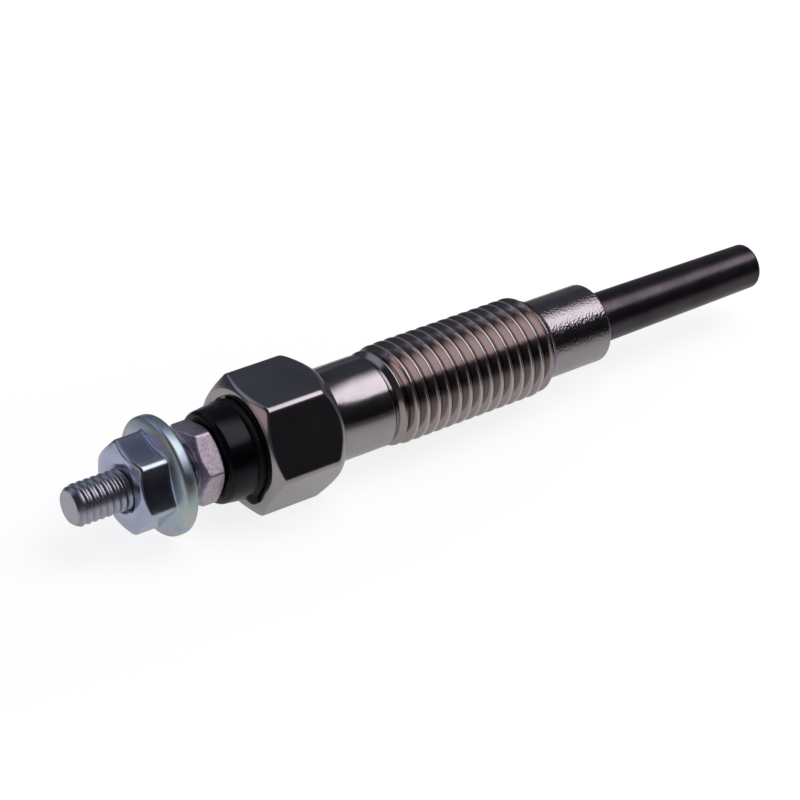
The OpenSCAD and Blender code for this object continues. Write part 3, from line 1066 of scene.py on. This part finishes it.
# Painted pool of light: the table's grey and its glow for mirroring rays fade away from the plug.
NEAR_GREY, FAR_GREY = (0.36, 0.36, 0.36, 1), (0.18, 0.18, 0.18, 1)
WHITE = (1, 1, 1, 1)
TABLE_GLOW = 0.84
MIRRORED_GLOW = 0.42
POOL_STRETCH, POOL_SHIFT = (0.4, 1, 1), (0.008, -0.004, 0)
POOL_START, POOL_END = 0.01, 0.065


def table_glow(finish, fade):
    """Glow that the camera and mirroring surfaces see; fade is 0 at the plug and 1 far from it."""
    ray = finish.node("LightPath").outputs
    bounced = finish.node("Math", {0: ray["Is Glossy Ray"], 1: ray["Is Transmission Ray"]},
                          operation="MAXIMUM").outputs["Value"]
    pool = finish.node("MapRange", {"Value": fade, "To Min": MIRRORED_GLOW, "To Max": 0.0}).outputs["Result"]
    mirrored = finish.node("Math", {0: bounced, 1: pool}, operation="MULTIPLY").outputs["Value"]
    seen = finish.node("MapRange", {"Value": fade, "To Min": TABLE_GLOW, "To Max": 1.0}).outputs["Result"]
    return finish.node("Math", {0: ray["Is Camera Ray"], 1: seen, 2: mirrored},
                       operation="MULTIPLY_ADD").outputs["Value"]


def make_table_finish():
    finish = Finish("white_table", roughness=0.9)
    finish.shader.inputs["Specular IOR Level"].default_value = 0.0
    finish.shader.inputs["Emission Color"].default_value = WHITE
    stretched = finish.node("VectorMath", {0: finish.place, 1: POOL_STRETCH, 2: POOL_SHIFT},
                            operation="MULTIPLY_ADD").outputs["Vector"]
    away = finish.node("VectorMath", {0: stretched}, operation="LENGTH").outputs["Value"]
    fade = finish.node("MapRange", {"Value": away, "From Min": POOL_START, "From Max": POOL_END},
                       interpolation_type="SMOOTHSTEP").outputs["Result"]
    return finish.set(
        Base_Color=finish.blend(fade, NEAR_GREY, FAR_GREY), Emission_Strength=table_glow(finish, fade),
    )


def add_mesh(name, bm, material):
    """Puts a bmesh into the scene as a thing of the studio."""
    mesh = bpy.data.meshes.new(name)
    bm.to_mesh(mesh)
    bm.free()
    mesh.materials.append(material)
    thing = bpy.data.objects.new(name, mesh)
    bpy.context.collection.objects.link(thing)
    return thing


table_top = bmesh.new()
bmesh.ops.create_grid(table_top, x_segments=1, y_segments=1, size=FLOOR_SIZE)
table = add_mesh("table", table_top, make_table_finish())
print("table made,", 2 * FLOOR_SIZE, "m wide")

# %% [markdown]
# Round the table is a dim room. It is lighter low down and towards the heater's end, so that no part of
# the metal is quite black, and the camera sees it white like the table.

# %% The room
ROOM_COLOUR = (1.0, 0.98, 1.2, 1)
LIGHT_BELOW, LIGHT_ABOVE, ABOVE_Z = 0.14, 0.06, 0.65
TERMINAL_X, HEATER_X = -0.8, 0.6
TERMINAL_SHARE, HEATER_SHARE = 0.4, 1.05


def make_room():
    world = bpy.data.worlds.new("room")
    world.use_nodes = True
    tree = world.node_tree
    toward = add_node(tree, "TexCoord").outputs["Generated"]
    way = add_node(tree, "SeparateXYZ", {"Vector": toward}).outputs
    level = add_node(tree, "MapRange", {
        "Value": way["Z"], "From Max": ABOVE_Z, "To Min": LIGHT_BELOW, "To Max": LIGHT_ABOVE,
    }).outputs["Result"]
    side = add_node(tree, "MapRange", {
        "Value": way["X"], "From Min": TERMINAL_X, "From Max": HEATER_X,
        "To Min": TERMINAL_SHARE, "To Max": HEATER_SHARE,
    }).outputs["Result"]
    dim = add_node(tree, "Math", {0: level, 1: side}, operation="MULTIPLY").outputs["Value"]
    seen = add_node(tree, "LightPath").outputs["Is Camera Ray"]
    strength = add_node(tree, "Math", {0: seen, 1: dim}, operation="MAXIMUM").outputs["Value"]
    background = tree.nodes["Background"]
    background.inputs["Color"].default_value = ROOM_COLOUR
    tree.links.new(strength, background.inputs["Strength"])
    return world


bpy.context.scene.world = make_room()
print("world:", bpy.context.scene.world.name)

# %% [markdown]
# Softboxes and cards stand round the plug, each turned about its axis, so that each draws a band along it.
# The large softbox overhead draws the bright band; it fades towards the back, and its lower edge is lifted
# at the right, which moves the band up on the nose. A faint bluish softbox behind lights the upper flats.
# A dark card beside the camera draws the black band, and a warm light warms the faces at the terminal end.

# %% Place lights and cards
CARD_GREY = (0.07, 0.07, 0.071, 1)
LIFTED_FROM = 0.1
FADED_GLOW = 0.04


def place_facing(thing, place):
    """Puts a lamp or card at place, with its -Z side towards the plug."""
    turn = Vector(place).to_track_quat("Z", "Y").to_matrix().to_4x4()
    thing.matrix_world = Matrix.Translation(place) @ turn


def place_along(thing, x, degrees, distance):
    """Puts a lamp or card beside the axis, degrees above the camera's side, with one edge along x."""
    turn = Matrix.Rotation(math.pi / 2 - math.radians(degrees), 4, "X")
    thing.matrix_world = Matrix.Translation((x, 0, AXIS_Z)) @ turn @ Matrix.Translation((0, 0, distance))


def flat_card(name, width, height, lift=0.0):
    """A card that the camera doesn't see, and its finish; lift raises its lower edge at the right."""
    bm = bmesh.new()
    bmesh.ops.create_grid(bm, x_segments=2, y_segments=1, size=0.5)
    bmesh.ops.scale(bm, verts=bm.verts, vec=(width, height, 1))
    corner = [vert for vert in bm.verts if vert.co.x > LIFTED_FROM * width and vert.co.y < 0]
    bmesh.ops.translate(bm, verts=corner, vec=(0, lift, 0))
    finish = Finish(name, roughness=1.0)
    finish.shader.inputs["Base Color"].default_value = CARD_GREY
    finish.shader.inputs["Specular IOR Level"].default_value = 0.0
    card = add_mesh(name, bm, finish.material)
    card.visible_camera = False
    return card, finish


# %% Softboxes and a soft lamp
def fading_softbox(name, width, height, fade_axis, fade_start, fade_end, radiance, colour, lift=0.0):
    """A softbox that fades to a weak glow along fade_axis; the ends of the fade are in metres."""
    card, finish = flat_card(name, width, height, lift)
    along = finish.node("VectorMath", {0: finish.place, 1: fade_axis}, operation="DOT_PRODUCT")
    light = finish.node("MapRange", {
        "Value": along.outputs["Value"], "From Min": fade_start, "From Max": fade_end,
        "To Min": radiance, "To Max": FADED_GLOW,
    }, interpolation_type="SMOOTHSTEP").outputs["Result"]
    finish.shader.inputs["Emission Color"].default_value = colour
    finish.set(Emission_Strength=light)
    return card


def soft_light(name, width, height, radiance, colour):
    """An area light that looks as bright as radiance from the front."""
    lamp = bpy.data.lights.new(name, "AREA")
    lamp.shape = "RECTANGLE"
    lamp.size, lamp.size_y = width, height
    lamp.energy = radiance * math.pi * width * height
    lamp.color = colour
    light = bpy.data.objects.new(name, lamp)
    bpy.context.collection.objects.link(light)
    light.visible_camera = False
    return light


# %% Light the plug
overhead = fading_softbox(
    "overhead_softbox", width=0.8, height=0.674, lift=0.44,
    fade_axis=(0.4, 1, 0), fade_start=-0.02, fade_end=0.32, radiance=1.8, colour=(1.0, 0.93, 1.0, 1),
)
place_along(overhead, x=0.35, degrees=81, distance=0.5)
behind = fading_softbox(
    "back_softbox", width=0.72, height=0.25,
    fade_axis=(1, 0, 0), fade_start=-0.25, fade_end=0.36, radiance=0.46, colour=(0.82, 0.93, 1.2, 1),
)
place_along(behind, x=-0.09, degrees=140, distance=0.33)
warm_lamp = soft_light("warm_card", width=0.36, height=0.15, radiance=0.6, colour=(1.0, 0.76, 0.68))
place_facing(warm_lamp, (-0.58, 0.14, 0.11))
dark_card, _ = flat_card("dark_card", width=1.3, height=0.56)
place_along(dark_card, x=0.36, degrees=25.5, distance=0.55)
print("lit by:", overhead.name, behind.name, warm_lamp.name, "and shaded by", dark_card.name)
